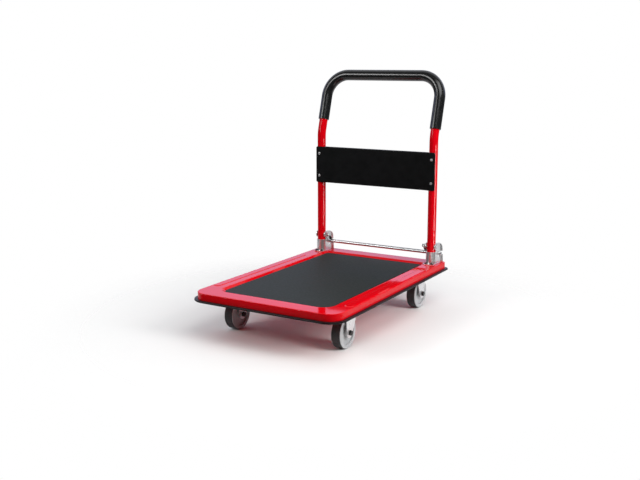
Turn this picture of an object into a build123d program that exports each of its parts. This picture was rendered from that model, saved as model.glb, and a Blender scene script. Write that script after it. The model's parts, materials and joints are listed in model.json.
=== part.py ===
from build123d import *
import os
from math import cos, pi, radians, sin, sqrt, tan

# A folding platform truck: a pressed steel deck on two rigid and two swivel casters, with a
# tube handle that folds forward onto the deck and a sprung foot rod between its hinge brackets.
# Millimetres. X is to the truck's right, Y towards the handle, Z up from the floor.
# The origin is on the floor, under the middle of the whole truck.

os.makedirs("parts", exist_ok=True)

# Deck, measured over the rubber edge strip
deck_length = 728.0
deck_width = 482.0
sheet = 1.5
skirt_inset = 10.0
front_corner = 42.0
rear_corner = 10.0
deck_edge_round = 2.0
border = 50.0
recess_depth = 7.0
recess_slope = 8.5
recess_front_corner = 30.0
recess_rear_corner = 8.0
recess_lip_round = 8.0
flange_reach = 5.0
flange_drop = 23.0

# Beads pressed up into the long borders
bead_width = 26.0
bead_rise = 1.4
bead_slope = 68.0
bead_edge_inset = 16.0
bead_front_gap = 98.0
bead_rear_gap = 150.0

# Mat
mat_thickness = 2.8
mat_gap = 0.5
mat_edge_round = 0.8

# Rubber edge strip
strip_height = 5.5
strip_round = 2.4
strip_gap = 0.15

# Channels under the deck
channel_wall = 2.0
bearer_width = 96.0
bearer_depth = 11.5
bearer_end_gap = 18.0
spine_width = 60.0

# Wheels
wheel_diameter = 90.0
wheel_width = 28.0
tread_depth = 5.5
tread_round = 1.6
wheel_lip = 1.5
wheel_lip_drop = 1.2
rim_band = 9.8
dish_depth = 5.0
hub_radius = 12.0
hub_proud = 3.2
wheel_edge_round = 0.6
wheel_inset = 65.0
front_axle_inset = 147.6
rear_axle_inset = 110.4

# Casters
caster_head = 22.0
plate_thickness = 2.5
plate_width = 72.0
plate_length = 84.0
plate_corner = 6.0
plate_hole_edge = 8.0
plate_hole_end = 12.5
fork_gap = 4.0
fork_wall = 2.5
fork_bend = 3.0
fork_edge = 6.0
fork_boss = 14.0
fork_front_reach = 20.0
fork_rear_reach = 44.0
rigid_plate_shift = 10.0
swivel_trail = 12.0
swivel_leg_front = 26.0
swivel_leg_rear = 33.0
crown_radius = 31.0
crown_wall = 3.0
crown_lip_wall = 2.5
crown_lip_gap = 1.0
race_radius = 21.0
ball_diameter = 4.8
ball_gap = 0.1
ball_count = 14
kingpin_diameter = 12.0
kingpin_head = 20.0
kingpin_head_height = 2.4
kingpin_foot_height = 3.5
kingpin_head_room = 3.0

# Axles, screws and bolts
axle_diameter = 8.0
sleeve_wall = 2.0
run_gap = 0.05
fit_gap = 0.1
end_gap = 0.2
hex_flats = 13.0
hex_head_height = 5.3
hex_nut_height = 6.5
caster_bolt_diameter = 6.0
caster_bolt_flats = 10.0
caster_bolt_head = 4.0
caster_nut_height = 5.0
thread_end = 1.5
hex_crown = 0.95
hex_slope = 1.7
screw_diameter = 5.0
screw_head = 8.5
screw_head_height = 3.2
screw_socket = 3.0
screw_socket_depth = 1.4
screw_nut_flats = 8.0
screw_nut_height = 4.0

# Handle
handle_inset = 40.6
hinge_setback = 58.4
tube_diameter = 27.0
tube_wall = 1.5
lean_start = 396.0
lean_angle = 16.5
lean_bend = 90.0
bar_rise = 582.5
bar_bend = 70.0
grip_wall = 3.75
grip_gap = 0.05
grip_start = 34.0
grip_shift = 8.5
grip_end_round = 1.4

# Panel across the handle
panel_low = 233.5
panel_height = 118.0
panel_sheet = 1.2
panel_ear = 12.0
panel_corner = 5.0
panel_fold = 11.0
panel_bend = 1.2
panel_notch = 14.5
panel_screw_spacing = 73.0
panel_screw_diameter = 4.0
panel_screw_head = 8.0
panel_screw_head_height = 2.4
panel_screw_reach = 7.0
panel_screw_cross = 4.6
panel_screw_cross_width = 1.0
panel_screw_cross_depth = 1.0

# Hinge brackets
bracket_sheet = 2.2
tube_side_gap = 0.7
pivot_rise = 55.6
ear_radius = 10.5
front_wall_rise = 39.0
ear_back = 22.0
ear_drop = 10.0
ear_round = 19.0
back_low = 45.0
edge_run = 9.0
edge_out = 5.2
foot_front = 25.0
foot_back = 40.0
foot_side = 1.0
foot_margin = 4.5
foot_corner = 6.0
foot_screw_x = 10.0
foot_screw_front = 18.5
foot_screw_back = 21.0
bush_diameter = 12.0
pivot_tip = 7.0
pivot_head = 15.0
pivot_head_height = 2.4
pivot_head_round = 1.8

# Foot rod, its slot and its springs
rod_diameter = 11.0
rod_drop = 25.5
rod_back = 24.0
rod_travel = 7.5
rod_gap = 0.3
rod_overhang = 8.0
clip_diameter = 17.0
clip_thickness = 1.0
clip_groove = 0.8
tail_gap = 0.7
wire_diameter = 1.2
coil_radius = 3.2
coil_turns = 8
coil_pitch = 2.0
hook_gap = 0.25
hook_shift = 2.6
hook_turn = 210
hook_steps = 3
spring_samples = 600
spring_neighbours = 2.5

# Levels, from the floor up
wheel_radius = wheel_diameter / 2
plate_top = wheel_diameter + caster_head
plate_bottom = plate_top - plate_thickness
floor_under = plate_top + bearer_depth
recess_z = floor_under + sheet
deck_z = recess_z + recess_depth
flange_z = deck_z - flange_drop
pivot_z = deck_z + pivot_rise
rod_z = pivot_z - rod_drop
kink_z = deck_z + lean_start
bar_z = deck_z + bar_rise

# The deck's middle is moved forward so that the origin is under the middle of the whole truck
tube_radius = tube_diameter / 2
grip_radius = tube_radius + grip_wall
lean_reach = (bar_rise - lean_start) * tan(radians(lean_angle))
rear_overhang = max(lean_reach + grip_radius - hinge_setback, 0)
deck_y = -rear_overhang / 2
front_y = deck_y - deck_length / 2
rear_y = deck_y + deck_length / 2
hinge_y = rear_y - hinge_setback
bar_y = hinge_y + lean_reach
rod_y = hinge_y + rod_back

# Sideways places
tube_x = deck_width / 2 - handle_inset
wheel_x = deck_width / 2 - wheel_inset
front_axle_y = front_y + front_axle_inset
rear_axle_y = rear_y - rear_axle_inset
kingpin_y = rear_axle_y - swivel_trail
rigid_plate_y = front_axle_y + rigid_plate_shift
SIDES = (("left", -1), ("right", 1))

# Shared sizes
pan_width = deck_width - 2 * skirt_inset
pan_length = deck_length - 2 * skirt_inset
recess_width = pan_width - 2 * (border + recess_slope)
recess_length = pan_length - 2 * (border + recess_slope)
plate_holes_x = plate_width - 2 * plate_hole_edge
plate_holes_y = plate_length - 2 * plate_hole_end
fork_inner = wheel_width / 2 + fork_gap
fork_outer = fork_inner + fork_wall
axle_radius = axle_diameter / 2
sleeve_radius = axle_radius + run_gap + sleeve_wall
bracket_inner = tube_radius + tube_side_gap
bracket_outer = bracket_inner + bracket_sheet
slot_width = rod_diameter + 2 * rod_gap
spring_x = tube_x - bracket_outer - hex_nut_height - pivot_tip / 2


def deck_plane(z):
    """Level plane with its origin in the middle of the deck."""
    return Plane((0, deck_y, z))


def save(piece, name):
    """Labels a finished piece and writes its file."""
    piece.label = name
    export_step(piece, f"parts/{name}.step")


def hex_block(plane, flats, height, bore=0):
    """Hexagon head or nut on a plane, with its outer corners turned off and an optional bore."""
    crown = flats / 2 * hex_crown
    with BuildPart() as block:
        with BuildSketch(plane):
            RegularPolygon(radius=flats / 2, side_count=6, major_radius=False)
        extrude(amount=height)
        with Locations(plane.offset(height / 2)):
            Cone(crown + height * hex_slope, crown, height, mode=Mode.INTERSECT)
        if bore:
            with BuildSketch(plane):
                Circle(bore)
            extrude(amount=height, mode=Mode.SUBTRACT)
    return block.part


def bracket_screw_places():
    """Screw places on both bracket feet."""
    places = []
    for _, side in SIDES:
        x = side * tube_x
        places.append((x - foot_screw_x, hinge_y - foot_screw_front))
        places.append((x + foot_screw_x, hinge_y - foot_screw_front))
        places.append((x, hinge_y + foot_screw_back))
    return places


def caster_bolt_places():
    """Bolt places on all four caster plates."""
    places = []
    for x in (-wheel_x, wheel_x):
        for y in (rigid_plate_y, kingpin_y):
            for dx in (-plate_holes_x / 2, plate_holes_x / 2):
                for dy in (-plate_holes_y / 2, plate_holes_y / 2):
                    places.append((x + dx, y + dy))
    return places


def tray_plan(width, length, front_round, rear_round):
    """Rectangle with one radius for its front corners and another for its rear corners."""
    with BuildSketch() as plan:
        Rectangle(width, length)
        fillet(plan.vertices().group_by(Axis.Y)[0], front_round)
        fillet(plan.vertices().group_by(Axis.Y)[-1], rear_round)
    return plan.sketch


def deck_outline(grow):
    """Plan of the pan, grown by a distance all round."""
    return tray_plan(pan_width + 2 * grow, pan_length + 2 * grow, front_corner + grow, rear_corner + grow)


def recess_plan(grow):
    """Plan of the recess's floor, grown by a distance all round."""
    width = recess_width + 2 * grow
    length = recess_length + 2 * grow
    return tray_plan(width, length, recess_front_corner + grow, recess_rear_corner + grow)


def deck_skin(inset):
    """Solid below the deck's surface, with every face drawn in by the inset."""
    outline = deck_outline(-inset)
    recess_floor = recess_plan(inset)
    recess_mouth = recess_plan(recess_slope + inset)
    with BuildPart() as skin:
        with BuildSketch(deck_plane(flange_z)):
            add(outline)
        extrude(amount=deck_z - inset - flange_z)
        fillet(skin.edges().group_by(Axis.Z)[-1], deck_edge_round - inset)
        with BuildSketch(deck_plane(recess_z - inset)):
            add(recess_floor)
        with BuildSketch(deck_plane(deck_z - inset)):
            add(recess_mouth)
        loft(mode=Mode.SUBTRACT)
        top = skin.faces().filter_by(Plane.XY).sort_by(Axis.Z)[-1]
        fillet(top.inner_wires()[0].edges(), recess_lip_round + inset)
        bead_length = deck_length - bead_front_gap - bead_rear_gap
        bead_y = (bead_front_gap - bead_rear_gap) / 2
        with BuildSketch(deck_plane(deck_z - inset)):
            for _, side in SIDES:
                with Locations((side * (pan_width / 2 - bead_edge_inset), bead_y)):
                    SlotOverall(bead_length - 2 * inset, bead_width - 2 * inset, rotation=90)
        extrude(amount=bead_rise, taper=bead_slope)
    return skin.part


def channel(width, length, centre, along):
    """Upside-down channel under the deck: a web at the bottom and two walls up to the deck."""
    x, y = centre
    across = Vector(0, 1, 0) if along == "x" else Vector(-1, 0, 0)
    run = Vector(1, 0, 0) if along == "x" else Vector(0, 1, 0)
    with BuildPart() as bar:
        with BuildSketch(Plane((x, y, plate_top), x_dir=across, z_dir=run)):
            with Locations((0, bearer_depth / 2)):
                Rectangle(width, bearer_depth)
            with Locations((0, channel_wall + bearer_depth / 2)):
                Rectangle(width - 2 * channel_wall, bearer_depth, mode=Mode.SUBTRACT)
        extrude(amount=length / 2, both=True)
    return bar.part


# Deck pan: outer skin less inner skin, with a lip turned out at the foot of the skirt
outer_skin = deck_skin(0)
inner_skin = deck_skin(sheet)
lip_outline = deck_outline(flange_reach)
wall_middle = deck_outline(-sheet / 2)
with BuildPart() as deck_pan:
    add(outer_skin)
    add(inner_skin, mode=Mode.SUBTRACT)
    with BuildSketch(deck_plane(flange_z)):
        add(lip_outline)
        add(wall_middle, mode=Mode.SUBTRACT)
    extrude(amount=sheet)
    with BuildSketch(Plane.XY.offset(deck_z)):
        with Locations(*bracket_screw_places()):
            Circle(screw_diameter / 2 + fit_gap)
    extrude(amount=-2 * sheet, mode=Mode.SUBTRACT)
save(deck_pan.part, "deck_pan")

# Mat in the recess
mat_plan = recess_plan(-mat_gap)
with BuildPart() as deck_mat:
    with BuildSketch(deck_plane(recess_z)):
        add(mat_plan)
    extrude(amount=mat_thickness)
    fillet(deck_mat.edges().group_by(Axis.Z)[-1], mat_edge_round)
save(deck_mat.part, "deck_mat")

# Rubber edge strip, with a groove over the pan's lip
strip_z = flange_z + sheet / 2 - strip_height / 2
strip_outline = deck_outline(skirt_inset)
strip_inside = deck_outline(strip_gap)
groove_outline = deck_outline(flange_reach + strip_gap)
with BuildPart() as edge_bumper:
    with BuildSketch(deck_plane(strip_z)):
        add(strip_outline)
    extrude(amount=strip_height)
    fillet(edge_bumper.edges().group_by(Axis.Z)[-1], strip_round)
    fillet(edge_bumper.edges().group_by(Axis.Z)[0], strip_round)
    with BuildSketch(deck_plane(strip_z)):
        add(strip_inside)
    extrude(amount=strip_height, mode=Mode.SUBTRACT)
    with BuildSketch(deck_plane(flange_z - strip_gap)):
        add(groove_outline)
    extrude(amount=sheet + 2 * strip_gap, mode=Mode.SUBTRACT)
save(edge_bumper.part, "edge_bumper")

# Cross channels that carry the casters
bearer_length = pan_width - 2 * bearer_end_gap
for name, y in (("front_bearer", rigid_plate_y), ("rear_bearer", kingpin_y)):
    with BuildPart() as bearer:
        add(channel(bearer_width, bearer_length, (0, y), "x"))
        with BuildSketch(Plane.XY.offset(plate_top)):
            with Locations(*caster_bolt_places()):
                Circle(caster_bolt_diameter / 2 + fit_gap)
            if name == "rear_bearer":
                with Locations((-wheel_x, y), (wheel_x, y)):
                    Circle(kingpin_head / 2 + kingpin_head_room)
        extrude(amount=channel_wall, mode=Mode.SUBTRACT)
    save(bearer.part, name)

# Spine between the cross channels
spine_front = rigid_plate_y + bearer_width / 2
spine_rear = kingpin_y - bearer_width / 2
centre_spine = channel(spine_width, spine_rear - spine_front, (0, (spine_front + spine_rear) / 2), "y")
save(centre_spine, "centre_spine")


def bracket_plan(x, z, back):
    """Plan section of the bracket's sheet: half-round front, straight sides and back edges turned out."""
    turn = back - edge_run
    with BuildSketch(Plane((x, hinge_y, z))) as plan:
        for half, mode in ((bracket_outer, Mode.ADD), (bracket_inner, Mode.SUBTRACT)):
            end = half + edge_out
            Circle(half, mode=mode)
            with Locations((0, turn / 2)):
                Rectangle(2 * half, turn, mode=mode)
            Polygon((-half, turn), (half, turn), (end, back), (-end, back), align=None, mode=mode)
    return plan.sketch


def hinge_bracket(x):
    """Pressed bracket: half-round front wall, two ears with turned-out back edges, and a foot."""
    ear_mid = bracket_inner + bracket_sheet / 2
    ear_top = pivot_z + ear_radius
    back_top = ear_back + ear_round
    widest_half = bracket_outer + edge_out
    border_flat = deck_outline(-foot_margin)
    with BuildPart() as bracket:
        # Folded sheet, with a back edge that leans forward
        loft([bracket_plan(x, deck_z, back_low), bracket_plan(x, ear_top, back_top)], ruled=True)
        # Outline seen from the side: a low front wall, and ears that rise behind it
        with BuildSketch(Plane.YZ.offset(x)):
            with Locations((hinge_y + ear_back, pivot_z - ear_drop)):
                Circle(ear_round)
            with Locations((hinge_y + ear_radius / 2, ear_top - ear_radius)):
                Rectangle(ear_radius, 2 * ear_radius)
            with Locations((hinge_y + back_low / 2, deck_z + bracket_sheet / 2)):
                Rectangle(back_low, bracket_sheet)
            make_hull()
            with Locations((hinge_y - bracket_outer / 2, deck_z + front_wall_rise / 2)):
                Rectangle(bracket_outer, front_wall_rise)
        extrude(amount=widest_half, both=True, mode=Mode.INTERSECT)
        # Round eyes for the pivot
        for side in (-1, 1):
            with BuildSketch(Plane.YZ.offset(x + side * ear_mid)):
                with Locations((hinge_y, pivot_z)):
                    Circle(ear_radius)
            extrude(amount=bracket_sheet / 2, both=True)
        # Foot, kept to the flat of the deck's border
        with BuildSketch(deck_plane(deck_z)):
            with Locations((x, hinge_y - deck_y + (foot_back - foot_front) / 2)):
                RectangleRounded(2 * (bracket_outer + foot_side), foot_back + foot_front, foot_corner)
            add(border_flat, mode=Mode.INTERSECT)
        extrude(amount=bracket_sheet)
        # Pivot hole
        with BuildSketch(Plane.YZ.offset(x)):
            with Locations((hinge_y, pivot_z)):
                Circle(axle_radius + run_gap)
        extrude(amount=bracket_outer + fit_gap, both=True, mode=Mode.SUBTRACT)
        # L-shaped slot for the foot rod, open at the back
        with BuildSketch(Plane.YZ.offset(x)):
            with Locations((rod_y, rod_z - rod_travel / 2)):
                SlotCenterToCenter(rod_travel, slot_width, rotation=90)
            with Locations((rod_y + back_low / 2, rod_z)):
                Rectangle(back_low, slot_width)
        extrude(amount=widest_half, both=True, mode=Mode.SUBTRACT)
        # Screw holes in the foot
        with BuildSketch(Plane.XY.offset(deck_z)):
            with Locations(*bracket_screw_places()):
                Circle(screw_diameter / 2 + fit_gap)
        extrude(amount=bracket_sheet, mode=Mode.SUBTRACT)
    return bracket.part


for name, side in SIDES:
    save(hinge_bracket(side * tube_x), f"hinge_bracket_{name}")

# Screws through the bracket feet, and their nuts under the deck
screw_length = bracket_sheet + sheet + screw_nut_height + thread_end
with BuildPart() as bracket_screws:
    with BuildSketch(Plane.XY.offset(deck_z + bracket_sheet)):
        with Locations(*bracket_screw_places()):
            Circle(screw_head / 2)
    extrude(amount=screw_head_height)
    fillet(bracket_screws.edges().group_by(Axis.Z)[-1], screw_head_height / 2)
    with BuildSketch(Plane.XY.offset(deck_z + bracket_sheet)):
        with Locations(*bracket_screw_places()):
            Circle(screw_diameter / 2)
    extrude(amount=-screw_length)
    with BuildSketch(Plane.XY.offset(deck_z + bracket_sheet + screw_head_height)):
        with Locations(*bracket_screw_places()):
            RegularPolygon(radius=screw_socket / 2, side_count=6, major_radius=False)
    extrude(amount=-screw_socket_depth, mode=Mode.SUBTRACT)
save(bracket_screws.part, "bracket_screws")

with BuildPart() as bracket_nuts:
    for x, y in bracket_screw_places():
        underside = Plane((x, y, deck_z - sheet), z_dir=(0, 0, -1))
        add(hex_block(underside, screw_nut_flats, screw_nut_height, screw_diameter / 2 + run_gap))
save(bracket_nuts.part, "bracket_nuts")

# Pivot bolts: low round head outside the bracket, nut inside, and a tip that holds the spring
for name, side in SIDES:
    outer_face = Plane((side * (tube_x + bracket_outer), hinge_y, pivot_z), z_dir=(side, 0, 0))
    with BuildPart() as pivot_bolt:
        with BuildSketch(outer_face):
            Circle(pivot_head / 2)
        extrude(amount=pivot_head_height)
        outward = Axis((0, 0, 0), (side, 0, 0))
        fillet(pivot_bolt.edges().sort_by(outward)[-1], pivot_head_round)
        with BuildSketch(outer_face):
            Circle(axle_radius)
        extrude(amount=-(2 * bracket_outer + hex_nut_height + pivot_tip))
    save(pivot_bolt.part, f"pivot_bolt_{name}")

with BuildPart() as pivot_nuts:
    for _, side in SIDES:
        inner_face = Plane((side * (tube_x - bracket_outer), hinge_y, pivot_z), z_dir=(-side, 0, 0))
        add(hex_block(inner_face, hex_flats, hex_nut_height, axle_radius + run_gap))
save(pivot_nuts.part, "pivot_nuts")

# Foot rod, with a groove near each end for its clip
clip_x = tube_x - bracket_outer - end_gap
rod_half = tube_x + bracket_outer + rod_overhang
with BuildPart() as lock_rod:
    with BuildSketch(Plane.YZ.offset(-rod_half)):
        with Locations((rod_y, rod_z)):
            Circle(rod_diameter / 2)
    extrude(amount=2 * rod_half)
    chamfer(lock_rod.edges().filter_by(GeomType.CIRCLE), clip_groove)
    for _, side in SIDES:
        with BuildSketch(Plane((side * clip_x, rod_y, rod_z), z_dir=(-side, 0, 0))):
            Circle(rod_diameter)
            Circle(rod_diameter / 2 - clip_groove, mode=Mode.SUBTRACT)
        extrude(amount=clip_thickness, mode=Mode.SUBTRACT)
save(lock_rod.part, "lock_rod")

with BuildPart() as rod_clips:
    for _, side in SIDES:
        with BuildSketch(Plane((side * clip_x, rod_y, rod_z), z_dir=(-side, 0, 0))):
            Circle(clip_diameter / 2)
            Circle(rod_diameter / 2 - clip_groove, mode=Mode.SUBTRACT)
            with Locations((0, -clip_diameter / 2)):
                Rectangle(rod_diameter - 2 * clip_groove, clip_diameter, mode=Mode.SUBTRACT)
        extrude(amount=clip_thickness)
save(rod_clips.part, "rod_clips")


def arc_middle(start, corner, end):
    """Middle of the arc from start to end whose end tangents meet at the corner."""
    chord_middle = (start + end) * 0.5
    half_chord = (end - start).length / 2
    cosine = half_chord / (corner - start).length
    return chord_middle + (corner - chord_middle) * (cosine / (1 + cosine))


def biarc(start, start_way, end, end_way):
    """Two tangent arcs between two points with given directions, each as start, middle and end."""
    span = end - start
    ways = start_way + end_way
    turn = 2 * (1 - start_way.dot(end_way))
    along = span.dot(ways)
    reach = (sqrt(along * along + turn * span.dot(span)) - along) / turn
    first = start + start_way * reach
    second = end - end_way * reach
    joint = (first + second) * 0.5
    return ((start, arc_middle(start, first, joint), joint), (joint, arc_middle(joint, second, end), end))


def spring_knots(side):
    """Points and directions along one spring: hook, coil, hook."""
    pin = Vector(side * spring_x, hinge_y, pivot_z)
    rod = Vector(side * spring_x, rod_y, rod_z)
    axis = (rod - pin).normalized()
    out = Vector(1, 0, 0)
    flank = out.cross(axis)
    hook_radius = axle_radius + wire_diameter / 2 + hook_gap
    rod_hook_radius = rod_diameter / 2 + wire_diameter / 2 + hook_gap
    coil_start = ((rod - pin).length - coil_turns * coil_pitch) / 2
    knots = []
    for step in range(hook_steps, -1, -1):
        angle = radians(hook_turn * step / hook_steps)
        arm = flank * cos(angle) - axis * sin(angle)
        way = flank * sin(angle) + axis * cos(angle)
        knots.append((pin - out * hook_shift + arm * hook_radius, way))
    for quarter in range(4 * coil_turns + 1):
        c, s = ((1, 0), (0, 1), (-1, 0), (0, -1))[quarter % 4]
        centre = pin + axis * (coil_start + coil_pitch * quarter / 4)
        way = (out * c - flank * s) * coil_radius + axis * (coil_pitch / (2 * pi))
        knots.append((centre + (flank * c + out * s) * coil_radius, way.normalized()))
    for step in range(hook_steps + 1):
        angle = radians(hook_turn * step / hook_steps)
        arm = flank * cos(angle) + axis * sin(angle)
        way = axis * cos(angle) - flank * sin(angle)
        knots.append((rod + out * hook_shift + arm * rod_hook_radius, way))
    return knots


def least_self_gap(path, wire):
    """Least clear distance between stretches of a wire that lie well apart along it."""
    points = [path.position_at(i / spring_samples) for i in range(spring_samples + 1)]
    apart = int(spring_neighbours * wire / (path.length / spring_samples))
    nearest = path.length
    for i, point in enumerate(points):
        for other in points[i + apart:]:
            nearest = min(nearest, (other - point).length)
    return nearest - wire


# Springs from the pivot bolts to the foot rod
for name, side in SIDES:
    knots = spring_knots(side)
    with BuildPart() as rod_spring:
        with BuildLine() as spring_path:
            for (start, start_way), (end, end_way) in zip(knots, knots[1:]):
                for arc in biarc(start, start_way, end, end_way):
                    ThreePointArc(*arc)
        with BuildSketch(Plane(knots[0][0], z_dir=knots[0][1])):
            Circle(wire_diameter / 2)
        sweep(path=spring_path.wire())
    spring_wire = spring_path.wire()
    print(name, "spring: least gap to itself", round(least_self_gap(spring_wire, wire_diameter), 2))
    print(name, "spring: volume over section times length",
          round(rod_spring.part.volume / (spring_wire.length * pi * wire_diameter ** 2 / 4), 4))
    save(rod_spring.part, f"rod_spring_{name}")


def handle_path(left_end, right_end, corners, bends):
    """Line up the left leg of the handle, across the bar and down the right leg."""
    up = [(-tube_x, y, z) for y, z in (left_end, *corners)]
    down = [(tube_x, y, z) for y, z in (right_end, *corners)]
    return FilletPolyline(*up, *reversed(down), radius=bends + bends[::-1])


def lean_point(rise):
    """Point on the leaning part of a leg, at a height above the kink."""
    return hinge_y + rise * tan(radians(lean_angle)), kink_z + rise


# Handle tube, with its tails rounded about the pivots so that they swing clear of the foot rod
rod_radius_about_pivot = sqrt(rod_drop ** 2 + rod_back ** 2)
tail_radius = rod_radius_about_pivot - rod_diameter / 2 - tail_gap
panel_middle = deck_z + panel_low + panel_height / 2
panel_screw_places = [
    (side * tube_x, panel_middle + end * panel_screw_spacing / 2) for _, side in SIDES for end in (-1, 1)
]
with BuildPart() as handle_tube:
    with BuildLine() as tube_path:
        tail = (hinge_y, pivot_z - tail_radius)
        handle_path(tail, tail, [(hinge_y, kink_z), (bar_y, bar_z)], [lean_bend, bar_bend])
    with BuildSketch(Plane((-tube_x, hinge_y, pivot_z - tail_radius))):
        Circle(tube_radius)
        Circle(tube_radius - tube_wall, mode=Mode.SUBTRACT)
    sweep(path=tube_path.wire())
    for _, side in SIDES:
        with BuildSketch(Plane.YZ.offset(side * tube_x)):
            with Locations((hinge_y, pivot_z - tail_radius)):
                Rectangle(2 * tube_diameter, 2 * tail_radius)
            with Locations((hinge_y, pivot_z)):
                Circle(tail_radius, mode=Mode.SUBTRACT)
        extrude(amount=tube_diameter, both=True, mode=Mode.SUBTRACT)
        with BuildSketch(Plane.YZ.offset(side * tube_x)):
            with Locations((hinge_y, pivot_z)):
                Circle(bush_diameter / 2)
        extrude(amount=tube_diameter, both=True, mode=Mode.SUBTRACT)
    with BuildSketch(Plane.XZ.offset(-hinge_y)):
        with Locations(*panel_screw_places):
            Circle(panel_screw_diameter / 2 + run_gap)
    extrude(amount=tube_diameter, mode=Mode.SUBTRACT)
save(handle_tube.part, "handle_tube")

# Grip over the bar, the corners and part of the legs
grip_left = lean_point(grip_start + grip_shift)
grip_right = lean_point(grip_start - grip_shift)
with BuildPart() as handle_grip:
    with BuildLine() as grip_path:
        handle_path(grip_left, grip_right, [(bar_y, bar_z)], [bar_bend])
    with BuildSketch(Plane(grip_path.wire() ^ 0)):
        Circle(grip_radius)
        Circle(tube_radius + grip_gap, mode=Mode.SUBTRACT)
    sweep(path=grip_path.wire())
    end_faces = handle_grip.faces().filter_by(GeomType.PLANE).sort_by(Axis.Z)[:2]
    fillet([face.outer_wire().edges()[0] for face in end_faces], grip_end_round)
save(handle_grip.part, "handle_grip")

# Bushes in the tails, on the pivot bolts
for name, side in SIDES:
    with BuildPart() as pivot_bush:
        with BuildSketch(Plane.YZ.offset(side * tube_x)):
            with Locations((hinge_y, pivot_z)):
                Circle(bush_diameter / 2)
                Circle(axle_radius + run_gap, mode=Mode.SUBTRACT)
        extrude(amount=bracket_inner - end_gap, both=True)
    save(pivot_bush.part, f"pivot_bush_{name}")

# Panel on the front of the tubes, with its top and bottom edges folded back between them and flat ears
panel_back_y = hinge_y - tube_radius - fit_gap
fold_half = tube_x - panel_notch
panel_face_y = panel_back_y - panel_sheet
with BuildPart() as back_panel:
    with BuildSketch(Plane.YZ.offset(-fold_half)) as folds:
        with Locations((panel_face_y + panel_fold / 2, panel_middle)):
            Rectangle(panel_fold, panel_height)
        fillet(folds.vertices().group_by(Axis.X)[0], panel_bend + panel_sheet)
    extrude(amount=2 * fold_half)
    with BuildSketch(Plane.YZ.offset(-fold_half)) as hollow:
        with Locations((panel_back_y + panel_fold / 2, panel_middle)):
            Rectangle(panel_fold, panel_height - 2 * panel_sheet)
        fillet(hollow.vertices().group_by(Axis.X)[0], panel_bend)
    extrude(amount=2 * fold_half, mode=Mode.SUBTRACT)
    with BuildSketch(Plane((0, panel_back_y, panel_middle), x_dir=(1, 0, 0), z_dir=(0, -1, 0))):
        RectangleRounded(2 * (tube_x + panel_ear), panel_height, panel_corner)
        Rectangle(2 * fold_half, panel_height, mode=Mode.SUBTRACT)
    extrude(amount=panel_sheet)
    with BuildSketch(Plane.XZ.offset(-panel_back_y)):
        with Locations(*panel_screw_places):
            Circle(panel_screw_diameter / 2 + run_gap)
    extrude(amount=panel_sheet, mode=Mode.SUBTRACT)
save(back_panel.part, "back_panel")

with BuildPart() as panel_screws:
    with BuildSketch(Plane.XZ.offset(panel_sheet - panel_back_y)):
        with Locations(*panel_screw_places):
            Circle(panel_screw_head / 2)
    extrude(amount=panel_screw_head_height)
    fillet(panel_screws.edges().group_by(Axis.Y)[0], panel_screw_head_height / 2)
    with BuildSketch(Plane.XZ.offset(panel_sheet - panel_back_y)):
        with Locations(*panel_screw_places):
            Circle(panel_screw_diameter / 2)
    extrude(amount=-panel_screw_reach)
    with BuildSketch(Plane.XZ.offset(panel_sheet + panel_screw_head_height - panel_back_y)):
        with Locations(*panel_screw_places):
            Rectangle(panel_screw_cross, panel_screw_cross_width)
            Rectangle(panel_screw_cross_width, panel_screw_cross)
    extrude(amount=-panel_screw_cross_depth, mode=Mode.SUBTRACT)
save(panel_screws.part, "panel_screws")


def caster_plate(x, y):
    """Top plate of a caster with its bolt holes."""
    with BuildPart() as plate:
        with BuildSketch(Plane((x, y, plate_bottom))):
            RectangleRounded(plate_width, plate_length, plate_corner)
            with GridLocations(plate_holes_x, plate_holes_y, 2, 2):
                Circle(caster_bolt_diameter / 2 + fit_gap, mode=Mode.SUBTRACT)
        extrude(amount=plate_thickness)
    return plate.part


def folded_fork(x, axle_y, front, rear, top_z):
    """Fork folded from sheet: a crown with two legs that taper from its edges to the axle."""
    low_z = wheel_radius - fork_boss
    with BuildPart() as fork:
        with BuildSketch(Plane((x, front, low_z), x_dir=(1, 0, 0), z_dir=(0, 1, 0))) as section:
            with Locations((0, (low_z - top_z) / 2)):
                Rectangle(2 * fork_outer, top_z - low_z)
            fillet(section.vertices().group_by(Axis.Y)[0], fork_bend + fork_wall)
        extrude(amount=rear - front)
        with BuildSketch(Plane((x, front, low_z), x_dir=(1, 0, 0), z_dir=(0, 1, 0))) as inside:
            with Locations((0, (low_z - top_z + fork_wall) / 2)):
                Rectangle(2 * fork_inner, top_z - fork_wall - low_z)
            fillet(inside.vertices().group_by(Axis.Y)[0], fork_bend)
        extrude(amount=rear - front, mode=Mode.SUBTRACT)
        with BuildSketch(Plane.YZ.offset(x)):
            with Locations((axle_y, wheel_radius)):
                Circle(fork_boss)
            with Locations(((front + rear) / 2, top_z - fork_edge / 2)):
                Rectangle(rear - front, fork_edge)
            make_hull()
        extrude(amount=2 * fork_outer, both=True, mode=Mode.INTERSECT)
        with BuildSketch(Plane.YZ.offset(x)):
            with Locations((axle_y, wheel_radius)):
                Circle(axle_radius + fit_gap)
        extrude(amount=2 * fork_outer, both=True, mode=Mode.SUBTRACT)
    return fork.part


# Rigid front casters: plate and legs in one piece
for name, side in SIDES:
    x = side * wheel_x
    leg_front = front_axle_y - fork_front_reach
    leg_rear = front_axle_y + fork_rear_reach
    with BuildPart() as rigid_fork:
        add(caster_plate(x, rigid_plate_y))
        add(folded_fork(x, front_axle_y, leg_front, leg_rear, plate_bottom))
    save(rigid_fork.part, f"rigid_fork_{name}")

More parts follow.
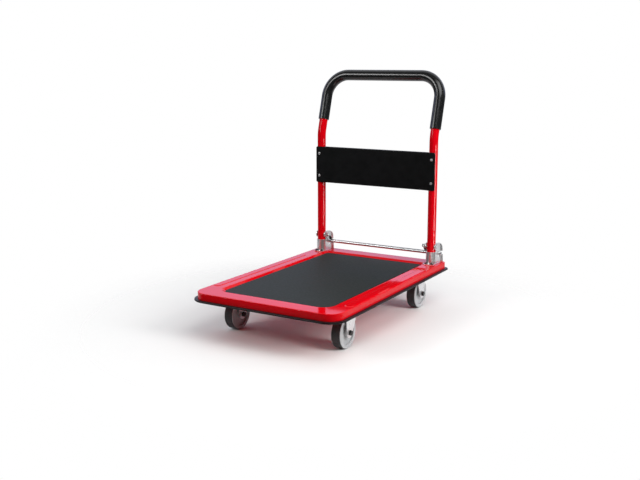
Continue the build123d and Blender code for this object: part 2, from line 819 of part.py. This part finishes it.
# Swivel rear casters: plate, kingpin, balls and fork
crown_top = plate_bottom - ball_diameter - 2 * ball_gap
crown_low = crown_top - crown_wall
kingpin_radius = kingpin_diameter / 2
for name, side in SIDES:
    x = side * wheel_x
    with BuildPart() as swivel_plate:
        add(caster_plate(x, kingpin_y))
        with BuildSketch(Plane((x, kingpin_y, plate_bottom))):
            Circle(kingpin_radius + run_gap)
        extrude(amount=plate_thickness, mode=Mode.SUBTRACT)
    save(swivel_plate.part, f"swivel_plate_{name}")

    with BuildPart() as kingpin:
        with BuildSketch(Plane((x, kingpin_y, plate_top))):
            Circle(kingpin_head / 2)
        extrude(amount=kingpin_head_height)
        with BuildSketch(Plane((x, kingpin_y, plate_top))):
            Circle(kingpin_radius)
        extrude(amount=crown_low - end_gap - plate_top)
        with BuildSketch(Plane((x, kingpin_y, crown_low - end_gap))):
            Circle(kingpin_head / 2)
        extrude(amount=-kingpin_foot_height)
    save(kingpin.part, f"kingpin_{name}")

    with BuildPart() as swivel_balls:
        with Locations((x, kingpin_y, plate_bottom - ball_diameter / 2 - ball_gap)):
            with PolarLocations(race_radius, ball_count):
                Sphere(ball_diameter / 2)
    save(swivel_balls.part, f"swivel_balls_{name}")

    with BuildPart() as swivel_fork:
        with BuildSketch(Plane((x, kingpin_y, crown_low))):
            Circle(crown_radius)
        extrude(amount=crown_wall)
        with BuildSketch(Plane((x, kingpin_y, crown_top))):
            Circle(crown_radius)
            Circle(crown_radius - crown_lip_wall, mode=Mode.SUBTRACT)
        extrude(amount=plate_bottom - crown_lip_gap - crown_top)
        add(folded_fork(x, rear_axle_y, kingpin_y - swivel_leg_front, kingpin_y + swivel_leg_rear, crown_top))
        with BuildSketch(Plane((x, kingpin_y, crown_low))):
            Circle(kingpin_radius + run_gap)
        extrude(amount=crown_wall, mode=Mode.SUBTRACT)
    save(swivel_fork.part, f"swivel_fork_{name}")


# Bolts and nuts that hold the caster plates to the cross channels
bolt_grip = plate_thickness + channel_wall
with BuildPart() as caster_bolts:
    for x, y in caster_bolt_places():
        add(hex_block(Plane((x, y, plate_bottom), z_dir=(0, 0, -1)), caster_bolt_flats, caster_bolt_head))
    with BuildSketch(Plane.XY.offset(plate_bottom)):
        with Locations(*caster_bolt_places()):
            Circle(caster_bolt_diameter / 2)
    extrude(amount=bolt_grip + caster_nut_height + thread_end)
save(caster_bolts.part, "caster_bolts")

nut_bore = caster_bolt_diameter / 2 + run_gap
with BuildPart() as caster_nuts:
    for x, y in caster_bolt_places():
        web = Plane((x, y, plate_top + channel_wall))
        add(hex_block(web, caster_bolt_flats, caster_nut_height, nut_bore))
save(caster_nuts.part, "caster_nuts")


def wheel_core(x, y):
    """Moulded wheel body: rim with two lips, a dished web on each side and a hub."""
    half = wheel_width / 2
    lip_radius = wheel_radius - wheel_lip_drop
    seat_radius = wheel_radius - tread_depth
    dish_radius = lip_radius - rim_band
    web = half - dish_depth
    hub_face = half + hub_proud
    bore = sleeve_radius + run_gap
    hub = [(hub_face, bore), (hub_face, hub_radius), (web, hub_radius)]
    dish = [(web, dish_radius), (half, dish_radius)]
    lip = [(half, lip_radius), (half - wheel_lip, lip_radius), (half - wheel_lip, seat_radius)]
    right_half = hub + dish + lip
    left_half = [(-axial, radius) for axial, radius in reversed(right_half)]
    with BuildPart() as core:
        with BuildSketch(Plane((x, y, wheel_radius), x_dir=(1, 0, 0), z_dir=(0, -1, 0))) as section:
            with BuildLine():
                Polyline(*right_half, *left_half, close=True)
            make_face()
            fillet(section.vertices(), wheel_edge_round)
        revolve(axis=Axis((x, y, wheel_radius), (1, 0, 0)))
    return core.part


def wheel_tread(x, y):
    """Rubber tread seated between the wheel body's lips."""
    half = wheel_width / 2 - wheel_lip - run_gap
    seat_radius = wheel_radius - tread_depth + run_gap
    with BuildPart() as tread:
        with BuildSketch(Plane((x, y, wheel_radius), x_dir=(1, 0, 0), z_dir=(0, -1, 0))) as section:
            with Locations((0, (seat_radius + wheel_radius) / 2)):
                Rectangle(2 * half, wheel_radius - seat_radius)
            fillet(section.vertices().group_by(Axis.Y)[-1], tread_round)
            fillet(section.vertices().group_by(Axis.Y)[0], wheel_edge_round)
        revolve(axis=Axis((x, y, wheel_radius), (1, 0, 0)))
    return tread.part


# Wheels with their sleeves, axle bolts and nuts
for end, y in (("front", front_axle_y), ("rear", rear_axle_y)):
    for name, side in SIDES:
        x = side * wheel_x
        corner = f"{end}_{name}"
        save(wheel_core(x, y), f"wheel_core_{corner}")
        save(wheel_tread(x, y), f"wheel_tread_{corner}")
        with BuildPart() as axle_sleeve:
            with BuildSketch(Plane.YZ.offset(x)):
                with Locations((y, wheel_radius)):
                    Circle(sleeve_radius)
                    Circle(axle_radius + run_gap, mode=Mode.SUBTRACT)
            extrude(amount=fork_inner - run_gap, both=True)
        save(axle_sleeve.part, f"axle_sleeve_{corner}")

        outer_face = Plane((x + side * fork_outer, y, wheel_radius), z_dir=(side, 0, 0))
        with BuildPart() as axle_bolt:
            add(hex_block(outer_face, hex_flats, hex_head_height))
            with BuildSketch(outer_face):
                Circle(axle_radius)
            extrude(amount=-(2 * fork_outer + hex_nut_height + thread_end))
        save(axle_bolt.part, f"axle_bolt_{corner}")

        inner_face = Plane((x - side * fork_outer, y, wheel_radius), z_dir=(-side, 0, 0))
        axle_nut = hex_block(inner_face, hex_flats, hex_nut_height, axle_radius + run_gap)
        save(axle_nut, f"axle_nut_{corner}")
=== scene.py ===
import json
from math import cos, pi, radians, sin

import bpy
from mathutils import Matrix, Vector


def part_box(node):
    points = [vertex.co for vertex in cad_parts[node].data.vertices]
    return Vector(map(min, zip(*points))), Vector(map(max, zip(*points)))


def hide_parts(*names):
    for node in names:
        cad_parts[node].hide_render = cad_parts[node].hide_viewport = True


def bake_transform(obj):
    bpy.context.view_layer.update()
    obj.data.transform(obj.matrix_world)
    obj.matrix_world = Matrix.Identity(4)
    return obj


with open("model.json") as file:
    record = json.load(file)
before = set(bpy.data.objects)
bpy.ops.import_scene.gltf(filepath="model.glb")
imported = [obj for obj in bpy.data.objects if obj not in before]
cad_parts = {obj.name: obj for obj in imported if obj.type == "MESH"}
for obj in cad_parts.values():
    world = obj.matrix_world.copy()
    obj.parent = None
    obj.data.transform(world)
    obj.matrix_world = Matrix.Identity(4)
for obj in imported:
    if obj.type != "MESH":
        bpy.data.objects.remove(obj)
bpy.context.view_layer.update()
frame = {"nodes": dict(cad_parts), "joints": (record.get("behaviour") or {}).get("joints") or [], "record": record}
nodes = frame["nodes"]
joints = {joint["name"]: joint for joint in frame["joints"]}
hinge = Vector(joints["handle_fold"]["pos_m"])

# Camera, in pixels of the photograph and millimetres of the sensor
IMAGE_WIDTH = 640
FOCAL_PIXELS = 881.6
SENSOR_WIDTH = 36.0

# View, in degrees and metres; its middle is ahead of the handle's hinge
VIEW_AZIMUTH = 30.74
VIEW_ELEVATION = 11.59
VIEW_ROLL = -0.063
VIEW_DISTANCE = 2.6201
VIEW_ASIDE = -0.02434
VIEW_AHEAD = 0.308
VIEW_HEIGHT = 0.23878

# Floor, in metres; it fades out between two distances from the truck's middle
FLOOR_RADIUS = 6.0
FLOOR_SIDES = 64
FLOOR_FADE_FROM = 0.30
FLOOR_FADE_TO = 0.95
FLOOR_COLOUR = (0.90, 0.89, 0.87)
FLOOR_SPECULAR = 0.1

# Dark card behind the handle's hinge, in metres; it is seen only in reflections, where it paints a dark reflection
# into the truck's gloss
CARD_SIDES = (-0.213, 0.247)
CARD_HEIGHTS = (0.222, 0.354)
CARD_BEHIND = 0.055
CARD_COLOUR = (0.012, 0.012, 0.013)

# Roughness of the floor and of the card
MATT = 0.9

# Soft lights, in metres and watts
KEY_LIGHT = {"place": (3.0, 0.0, 1.7), "aim": (0, 0.1, 0.2), "size": (1.3, 1.6), "power": 78}
TOP_LIGHT = {"place": (1.2, -0.8, 2.2), "aim": (0.1, -0.1, 0.15), "size": (1.8, 1.4), "power": 27}
FILL_LIGHT = {"place": (-1.4, -1.9, 1.45), "aim": (0, 0.2, 0.4), "size": (1.0, 0.75), "power": 20}
STRIP_LIGHT = {"place": (1.35, 0.25, 0.16), "aim": (0.2, 0.25, 0.3), "size": (0.6, 0.46), "power": 13}

# Room behind the truck: colours by height, from -1 for straight down to 1 for straight up
ROOM_LAYERS = (
    (-0.20, (0.80, 0.80, 0.82)),
    (-0.13, (0.10, 0.10, 0.11)),
    (0.13, (0.10, 0.10, 0.11)),
    (0.19, (0.80, 0.88, 1.30)),
    (0.29, (0.80, 0.88, 1.30)),
    (0.42, (0.84, 0.86, 0.90)),
)

# Room in front of the truck, and where it takes over, from -1 for straight behind to 1 for straight in front
ROOM_IN_FRONT = (0.02, 0.02, 0.02)
ROOM_BEHIND_TO = -0.3
ROOM_FRONT_FROM = 0.1

# What the camera sees behind everything
BACKDROP = (1.0, 1.0, 1.0)

# Springs from the hinge pins to the foot rod, in metres and degrees
SPRING_WIRE = 0.0012
COIL_RADIUS = 0.0032
COIL_TURNS = 8
COIL_PITCH = 0.0020
PIN_RADIUS = 0.0040
ROD_RADIUS = 0.0055
HOOK_GAP = 0.00025
HOOK_SHIFT = 0.0026
HOOK_TURN = 210

# Fineness of the springs: steps of a hook, roundness of the wire, and its steps from knot to knot
HOOK_STEPS = 3
WIRE_ROUNDNESS = 4
WIRE_STEPS = 8

# Reach of a curve's handles, as a share of the way from knot to knot
BEZIER_REACH = 0.385

# Stretch of a noise's range over which a colour or a roughness goes from its low to its high value
COLOUR_SPREAD = (0.35, 0.65)
ROUGHNESS_SPREAD = (0.3, 0.7)


def add_object(name, data):
    """New object in the scene."""
    piece = bpy.data.objects.new(name, data)
    bpy.context.scene.collection.objects.link(piece)
    return piece


def new_material(name):
    """New material, with its node tree and its Principled shader."""
    material = bpy.data.materials.new(name)
    material.use_nodes = True
    return material, material.node_tree, material.node_tree.nodes["Principled BSDF"]


def object_noise(tree, scale, detail, stretch=(1, 1, 1)):
    """Noise that is fixed to the piece, with features of about one over the scale, in metres."""
    coordinates = tree.nodes.new("ShaderNodeTexCoord")
    mapping = tree.nodes.new("ShaderNodeMapping")
    mapping.inputs["Scale"].default_value = stretch
    texture = tree.nodes.new("ShaderNodeTexNoise")
    texture.inputs["Scale"].default_value = scale
    texture.inputs["Detail"].default_value = detail
    tree.links.new(coordinates.outputs["Object"], mapping.inputs["Vector"])
    tree.links.new(mapping.outputs["Vector"], texture.inputs["Vector"])
    return texture.outputs["Fac"]


def vary_colour(tree, shader, low, high, **noise):
    """Base colour that wanders between two close colours, by a noise."""
    ramp = tree.nodes.new("ShaderNodeValToRGB")
    for element, position, colour in zip(ramp.color_ramp.elements, COLOUR_SPREAD, (low, high)):
        element.position = position
        element.color = (*colour, 1)
    tree.links.new(object_noise(tree, **noise), ramp.inputs["Fac"])
    tree.links.new(ramp.outputs["Color"], shader.inputs["Base Color"])


def vary_roughness(tree, shader, low, high, **noise):
    """Roughness that wanders between two values, by a noise."""
    spread = tree.nodes.new("ShaderNodeMapRange")
    spread.inputs["From Min"].default_value = ROUGHNESS_SPREAD[0]
    spread.inputs["From Max"].default_value = ROUGHNESS_SPREAD[1]
    spread.inputs["To Min"].default_value = low
    spread.inputs["To Max"].default_value = high
    tree.links.new(object_noise(tree, **noise), spread.inputs["Value"])
    tree.links.new(spread.outputs["Result"], shader.inputs["Roughness"])


def add_bump(tree, depth, below=None, **noise):
    """Bump of the given depth in metres, by a noise, on top of another bump where there is one."""
    bump = tree.nodes.new("ShaderNodeBump")
    bump.inputs["Strength"].default_value = 1.0
    bump.inputs["Distance"].default_value = depth
    tree.links.new(object_noise(tree, **noise), bump.inputs["Height"])
    if below:
        tree.links.new(below, bump.inputs["Normal"])
    return bump.outputs["Normal"]


def red_paint():
    """Gloss enamel on pressed sheet: faint waves of the sheet and a fine orange peel."""
    material, tree, shader = new_material("red_paint")
    vary_colour(tree, shader, low=(0.70, 0.0014, 0.006), high=(0.75, 0.0018, 0.008), scale=9, detail=2)
    vary_roughness(tree, shader, low=0.30, high=0.40, scale=60, detail=4)
    waves = add_bump(tree, depth=0.00012, scale=14, detail=1)
    peel = add_bump(tree, depth=0.000004, below=waves, scale=420, detail=2)
    tree.links.new(peel, shader.inputs["Normal"])
    tree.links.new(peel, shader.inputs["Coat Normal"])
    shader.inputs["Specular IOR Level"].default_value = 0.0
    shader.inputs["Coat Weight"].default_value = 1.0
    shader.inputs["Coat IOR"].default_value = 1.24
    shader.inputs["Coat Roughness"].default_value = 0.06
    return material


def black_paint():
    """Satin black powder coat with a fine grain."""
    material, tree, shader = new_material("black_paint")
    vary_colour(tree, shader, low=(0.0045, 0.005, 0.0052), high=(0.007, 0.0075, 0.008), scale=40, detail=3)
    vary_roughness(tree, shader, low=0.36, high=0.48, scale=90, detail=4)
    grain = add_bump(tree, depth=0.00002, scale=900, detail=2)
    tree.links.new(grain, shader.inputs["Normal"])
    shader.inputs["Specular IOR Level"].default_value = 0.12
    return material


def mat_rubber():
    """Charcoal non-slip mat with a fine pebble grain."""
    material, tree, shader = new_material("mat_rubber")
    vary_colour(tree, shader, low=(0.0195, 0.0235, 0.0215), high=(0.0225, 0.0265, 0.0245),
                scale=400, detail=3)
    vary_roughness(tree, shader, low=0.56, high=0.64, scale=140, detail=4)
    grain = add_bump(tree, depth=0.00004, scale=1300, detail=2)
    tree.links.new(grain, shader.inputs["Normal"])
    shader.inputs["Specular IOR Level"].default_value = 0.16
    return material


def edge_rubber():
    """Black rubber edge strip."""
    material, tree, shader = new_material("edge_rubber")
    vary_colour(tree, shader, low=(0.004, 0.004, 0.0045), high=(0.008, 0.008, 0.0085), scale=30, detail=4)
    vary_roughness(tree, shader, low=0.30, high=0.42, scale=120, detail=4)
    grain = add_bump(tree, depth=0.00003, scale=500, detail=3)
    tree.links.new(grain, shader.inputs["Normal"])
    shader.inputs["Specular IOR Level"].default_value = 0.2
    return material


def grip_rubber():
    """Black vinyl grip, smooth, with a faint skin."""
    material, tree, shader = new_material("grip_rubber")
    vary_colour(tree, shader, low=(0.008, 0.0083, 0.0085), high=(0.012, 0.0123, 0.0125), scale=35, detail=4)
    vary_roughness(tree, shader, low=0.19, high=0.25, scale=100, detail=4)
    skin = add_bump(tree, depth=0.000004, scale=650, detail=3)
    tree.links.new(skin, shader.inputs["Normal"])
    shader.inputs["Specular IOR Level"].default_value = 0.62
    return material


def zinc_plate():
    """Bright zinc plate with faint rolling marks."""
    material, tree, shader = new_material("zinc_plate")
    vary_colour(tree, shader, low=(0.82, 0.825, 0.83), high=(0.90, 0.90, 0.905), scale=60, detail=4)
    vary_roughness(tree, shader, low=0.26, high=0.36, scale=180, detail=3, stretch=(1, 1, 0.15))
    marks = add_bump(tree, depth=0.000004, scale=900, detail=2, stretch=(1, 1, 0.1))
    tree.links.new(marks, shader.inputs["Normal"])
    shader.inputs["Metallic"].default_value = 0.85
    return material


def dark_steel():
    """Blackened steel of the bracket screws, axle bolts and springs."""
    material, tree, shader = new_material("dark_steel")
    vary_colour(tree, shader, low=(0.030, 0.030, 0.032), high=(0.060, 0.058, 0.056), scale=300, detail=3)
    vary_roughness(tree, shader, low=0.30, high=0.45, scale=500, detail=3)
    shader.inputs["Metallic"].default_value = 0.9
    return material


def bright_steel():
    """Ground steel of the foot rod, axle sleeves and swivel balls."""
    material, tree, shader = new_material("bright_steel")
    vary_colour(tree, shader, low=(0.58, 0.585, 0.59), high=(0.66, 0.665, 0.67), scale=200, detail=3)
    vary_roughness(tree, shader, low=0.24, high=0.32, scale=700, detail=2)
    shader.inputs["Metallic"].default_value = 1.0
    return material


def bush_plastic():
    """Pale nylon of the hinge bushes."""
    material, tree, shader = new_material("bush_plastic")
    vary_colour(tree, shader, low=(0.55, 0.55, 0.52), high=(0.63, 0.63, 0.60), scale=150, detail=3)
    vary_roughness(tree, shader, low=0.45, high=0.55, scale=400, detail=2)
    return material


def wheel_plastic():
    """Grey moulded wheel body."""
    material, tree, shader = new_material("wheel_plastic")
    vary_colour(tree, shader, low=(0.42, 0.43, 0.435), high=(0.49, 0.50, 0.505), scale=45, detail=4)
    vary_roughness(tree, shader, low=0.38, high=0.50, scale=160, detail=4)
    skin = add_bump(tree, depth=0.00002, scale=800, detail=3)
    tree.links.new(skin, shader.inputs["Normal"])
    return material


def tread_rubber():
    """Dark wheel tread, matt, with a little dust from rolling."""
    material, tree, shader = new_material("tread_rubber")
    vary_colour(tree, shader, low=(0.020, 0.021, 0.022), high=(0.038, 0.039, 0.040), scale=70, detail=5)
    vary_roughness(tree, shader, low=0.55, high=0.72, scale=220, detail=4)
    grain = add_bump(tree, depth=0.00005, scale=600, detail=3)
    tree.links.new(grain, shader.inputs["Normal"])
    return material


MATERIALS = {
    make.__name__: make()
    for make in (red_paint, black_paint, mat_rubber, edge_rubber, grip_rubber, zinc_plate,
                 dark_steel, bright_steel, bush_plastic, wheel_plastic, tread_rubber)
}


def dress_nodes():
    """Gives each node of the frame the material that its slot names."""
    for subpart in frame["record"]["subparts"]:
        mesh = nodes[subpart["node"]].data
        mesh.materials.clear()
        mesh.materials.append(MATERIALS[subpart["material_slot"]])


def middle(node):
    """Middle of a node's box."""
    low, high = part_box(node)
    return (Vector(low) + Vector(high)) / 2


def hook(centre, inner_radius, arm, way, turn_from, turn_to):
    """Knots of a hook: points and directions on an arc round a pin or a rod."""
    radius = inner_radius + SPRING_WIRE / 2 + HOOK_GAP
    knots = []
    for step in range(HOOK_STEPS + 1):
        angle = radians(turn_from + (turn_to - turn_from) * step / HOOK_STEPS)
        point = centre + (arm * cos(angle) + way * sin(angle)) * radius
        knots.append((point, way * cos(angle) - arm * sin(angle)))
    return knots


def spring_knots(pin, rod):
    """Points and directions along a spring: hook over the pin, coil, hook under the rod."""
    axis = (rod - pin).normalized()
    out = Vector((1, 0, 0))
    flank = out.cross(axis)
    coil_start = ((rod - pin).length - COIL_TURNS * COIL_PITCH) / 2
    coil = []
    for quarter in range(4 * COIL_TURNS + 1):
        angle = quarter * pi / 2
        centre = pin + axis * (coil_start + COIL_PITCH * quarter / 4)
        point = centre + (flank * cos(angle) + out * sin(angle)) * COIL_RADIUS
        way = (out * cos(angle) - flank * sin(angle)) * COIL_RADIUS + axis * (COIL_PITCH / (2 * pi))
        coil.append((point, way.normalized()))
    pin_hook = hook(pin - out * HOOK_SHIFT, PIN_RADIUS, flank, axis, -HOOK_TURN, 0)
    rod_hook = hook(rod + out * HOOK_SHIFT, ROD_RADIUS, flank, axis, 0, HOOK_TURN)
    return pin_hook + coil + rod_hook


def swept_wire(name, knots, radius):
    """Round wire through knots with directions."""
    curve = bpy.data.curves.new(name, "CURVE")
    curve.dimensions = "3D"
    curve.bevel_depth = radius
    curve.bevel_resolution = WIRE_ROUNDNESS
    curve.resolution_u = WIRE_STEPS
    curve.use_fill_caps = True
    spline = curve.splines.new("BEZIER")
    last = len(knots) - 1
    spline.bezier_points.add(last)
    for i, (point, (place, way)) in enumerate(zip(spline.bezier_points, knots)):
        before = (place - knots[max(i - 1, 0)][0]).length
        after = (knots[min(i + 1, last)][0] - place).length
        point.handle_left_type = "FREE"
        point.handle_right_type = "FREE"
        point.co = place
        point.handle_left = place - way * (before or after) * BEZIER_REACH
        point.handle_right = place + way * (after or before) * BEZIER_REACH
    guide = bpy.data.objects.new(name + "_guide", curve)
    mesh = bpy.data.meshes.new_from_object(guide)
    bpy.data.objects.remove(guide)
    mesh.polygons.foreach_set("use_smooth", [True] * len(mesh.polygons))
    return add_object(name, mesh)


def springs():
    """Coil springs from the hinge pins to the foot rod, built where the rod stands."""
    rod_middle = middle("lock_rod")
    for side in ("left", "right"):
        x = middle(f"rod_spring_{side}").x
        pin = Vector((x, hinge.y, hinge.z))
        rod = Vector((x, rod_middle.y, rod_middle.z))
        piece = swept_wire(f"spring_{side}", spring_knots(pin, rod), SPRING_WIRE / 2)
        piece.data.materials.append(MATERIALS["dark_steel"])
        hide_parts(f"rod_spring_{side}")
        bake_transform(piece)


def flat_piece(name, corners, material):
    """Single flat face with the given corners."""
    mesh = bpy.data.meshes.new(name)
    mesh.from_pydata(corners, [], [list(range(len(corners)))])
    mesh.materials.append(material)
    return add_object(name, mesh)


def floor_material():
    """Pale matt floor that fades into the white backdrop."""
    material, tree, shader = new_material("floor")
    shader.inputs["Base Color"].default_value = (*FLOOR_COLOUR, 1)
    shader.inputs["Roughness"].default_value = MATT
    shader.inputs["Specular IOR Level"].default_value = FLOOR_SPECULAR
    coordinates = tree.nodes.new("ShaderNodeTexCoord")
    distance = tree.nodes.new("ShaderNodeVectorMath")
    distance.operation = "LENGTH"
    fade = tree.nodes.new("ShaderNodeMapRange")
    fade.interpolation_type = "SMOOTHSTEP"
    fade.inputs["From Min"].default_value = FLOOR_FADE_FROM
    fade.inputs["From Max"].default_value = FLOOR_FADE_TO
    clear = tree.nodes.new("ShaderNodeBsdfTransparent")
    mix = tree.nodes.new("ShaderNodeMixShader")
    tree.links.new(coordinates.outputs["Object"], distance.inputs[0])
    tree.links.new(distance.outputs["Value"], fade.inputs["Value"])
    tree.links.new(fade.outputs["Result"], mix.inputs["Fac"])
    tree.links.new(shader.outputs["BSDF"], mix.inputs[1])
    tree.links.new(clear.outputs["BSDF"], mix.inputs[2])
    tree.links.new(mix.outputs["Shader"], tree.nodes["Material Output"].inputs["Surface"])
    return material


def floor():
    """Round floor that the truck stands on."""
    rim = []
    for side in range(FLOOR_SIDES):
        angle = 2 * pi * side / FLOOR_SIDES
        rim.append((FLOOR_RADIUS * cos(angle), FLOOR_RADIUS * sin(angle), 0))
    piece = flat_piece("floor", rim, floor_material())


def card_material():
    """Dark matt card."""
    material, _, shader = new_material("dark_card")
    shader.inputs["Base Color"].default_value = (*CARD_COLOUR, 1)
    shader.inputs["Roughness"].default_value = MATT
    return material


def dark_card():
    """Dark card behind the truck, out of the camera's sight, casting no shadow and lighting nothing: a painted
    dark reflection for the truck's gloss to mirror.
    """
    left, right = CARD_SIDES
    low, high = CARD_HEIGHTS
    y = hinge.y + CARD_BEHIND
    corners = [(left, y, low), (right, y, low), (right, y, high), (left, y, high)]
    piece = flat_piece("dark_card", corners, card_material())
    piece.visible_camera = False
    piece.visible_shadow = False
    piece.visible_diffuse = False


def room_behind(tree, direction):
    """Colour of the room behind the truck, in layers by height."""
    split = tree.nodes.new("ShaderNodeSeparateXYZ")
    height = tree.nodes.new("ShaderNodeMapRange")
    height.inputs["From Min"].default_value = -1
    layers = tree.nodes.new("ShaderNodeValToRGB")
    for level, _ in ROOM_LAYERS[1:-1]:
        layers.color_ramp.elements.new((level + 1) / 2)
    for element, (level, colour) in zip(layers.color_ramp.elements, ROOM_LAYERS):
        element.position = (level + 1) / 2
        element.color = (*colour, 1)
    tree.links.new(direction, split.inputs["Vector"])
    tree.links.new(split.outputs["Z"], height.inputs["Value"])
    tree.links.new(height.outputs["Result"], layers.inputs["Fac"])
    return layers.outputs["Color"]


def share_in_front(tree, direction):
    """How far a direction is in front of the truck, from 0 behind it to 1 in front of it."""
    along = tree.nodes.new("ShaderNodeVectorMath")
    along.operation = "DOT_PRODUCT"
    along.inputs[1].default_value = (sin(radians(VIEW_AZIMUTH)), -cos(radians(VIEW_AZIMUTH)), 0)
    share = tree.nodes.new("ShaderNodeMapRange")
    share.interpolation_type = "SMOOTHSTEP"
    share.inputs["From Min"].default_value = ROOM_BEHIND_TO
    share.inputs["From Max"].default_value = ROOM_FRONT_FROM
    tree.links.new(direction, along.inputs[0])
    tree.links.new(along.outputs["Value"], share.inputs["Value"])
    return share.outputs["Result"]


def towards_colour(tree, start, end, factor):
    """Colour that goes from a linked one to a fixed one as the factor goes from 0 to 1."""
    mix = tree.nodes.new("ShaderNodeMix")
    mix.data_type = "RGBA"
    mix.inputs["B"].default_value = (*end, 1)
    tree.links.new(factor, mix.inputs["Factor"])
    tree.links.new(start, mix.inputs["A"])
    return mix.outputs["Result"]


def backdrop():
    """White backdrop for the camera, in a room that is bright behind the truck and dark in front of it."""
    world = bpy.data.worlds.new("studio")
    world.use_nodes = True
    bpy.context.scene.world = world
    tree = world.node_tree
    direction = tree.nodes.new("ShaderNodeTexCoord").outputs["Generated"]
    camera_ray = tree.nodes.new("ShaderNodeLightPath").outputs["Is Camera Ray"]
    room = towards_colour(tree, room_behind(tree, direction), ROOM_IN_FRONT, share_in_front(tree, direction))
    seen = towards_colour(tree, room, BACKDROP, camera_ray)
    tree.links.new(seen, tree.nodes["Background"].inputs["Color"])


def softbox(name, place, aim, size, power, mirrored=True, mirrored_only_by=None):
    """Rectangular soft light that points at a place.

    It can be left out of all reflections, or be seen in the reflections of one node and light nothing else.
    """
    light = bpy.data.lights.new(name, "AREA")
    light.shape = "RECTANGLE"
    light.size, light.size_y = size
    light.energy = power
    lamp = add_object(name, light)
    lamp.visible_camera = False
    lamp.visible_glossy = mirrored
    if mirrored_only_by:
        lamp.visible_diffuse = False
        receivers = bpy.data.collections.new(f"{name}_receivers")
        receivers.objects.link(nodes[mirrored_only_by])
        lamp.light_linking.receiver_collection = receivers
    lamp.location = place
    lamp.rotation_euler = (Vector(aim) - Vector(place)).to_track_quat("-Z", "Y").to_euler()


def camera():
    """Camera at the photograph's place."""
    azimuth = radians(VIEW_AZIMUTH)
    elevation = radians(VIEW_ELEVATION)
    back = Vector((sin(azimuth) * cos(elevation), -cos(azimuth) * cos(elevation), sin(elevation)))
    target = Vector((VIEW_ASIDE, hinge.y - VIEW_AHEAD, VIEW_HEIGHT))
    data = bpy.data.cameras.new("camera")
    data.sensor_fit = "HORIZONTAL"
    data.sensor_width = SENSOR_WIDTH
    data.lens = FOCAL_PIXELS / IMAGE_WIDTH * SENSOR_WIDTH
    aim = (-back).to_track_quat("-Z", "Y").to_matrix().to_4x4()
    roll = Matrix.Rotation(radians(VIEW_ROLL), 4, "Z")
    piece = add_object("camera", data)
    piece.matrix_world = Matrix.Translation(target + back * VIEW_DISTANCE) @ aim @ roll
    bpy.context.scene.camera = piece


dress_nodes()
springs()
floor()
dark_card()
backdrop()
softbox("key_light", **KEY_LIGHT, mirrored=False)
softbox("top_light", **TOP_LIGHT)
softbox("fill_light", **FILL_LIGHT)
softbox("strip_light", **STRIP_LIGHT, mirrored_only_by="handle_tube")
camera()
bpy.context.scene.view_settings.view_transform = "Standard"
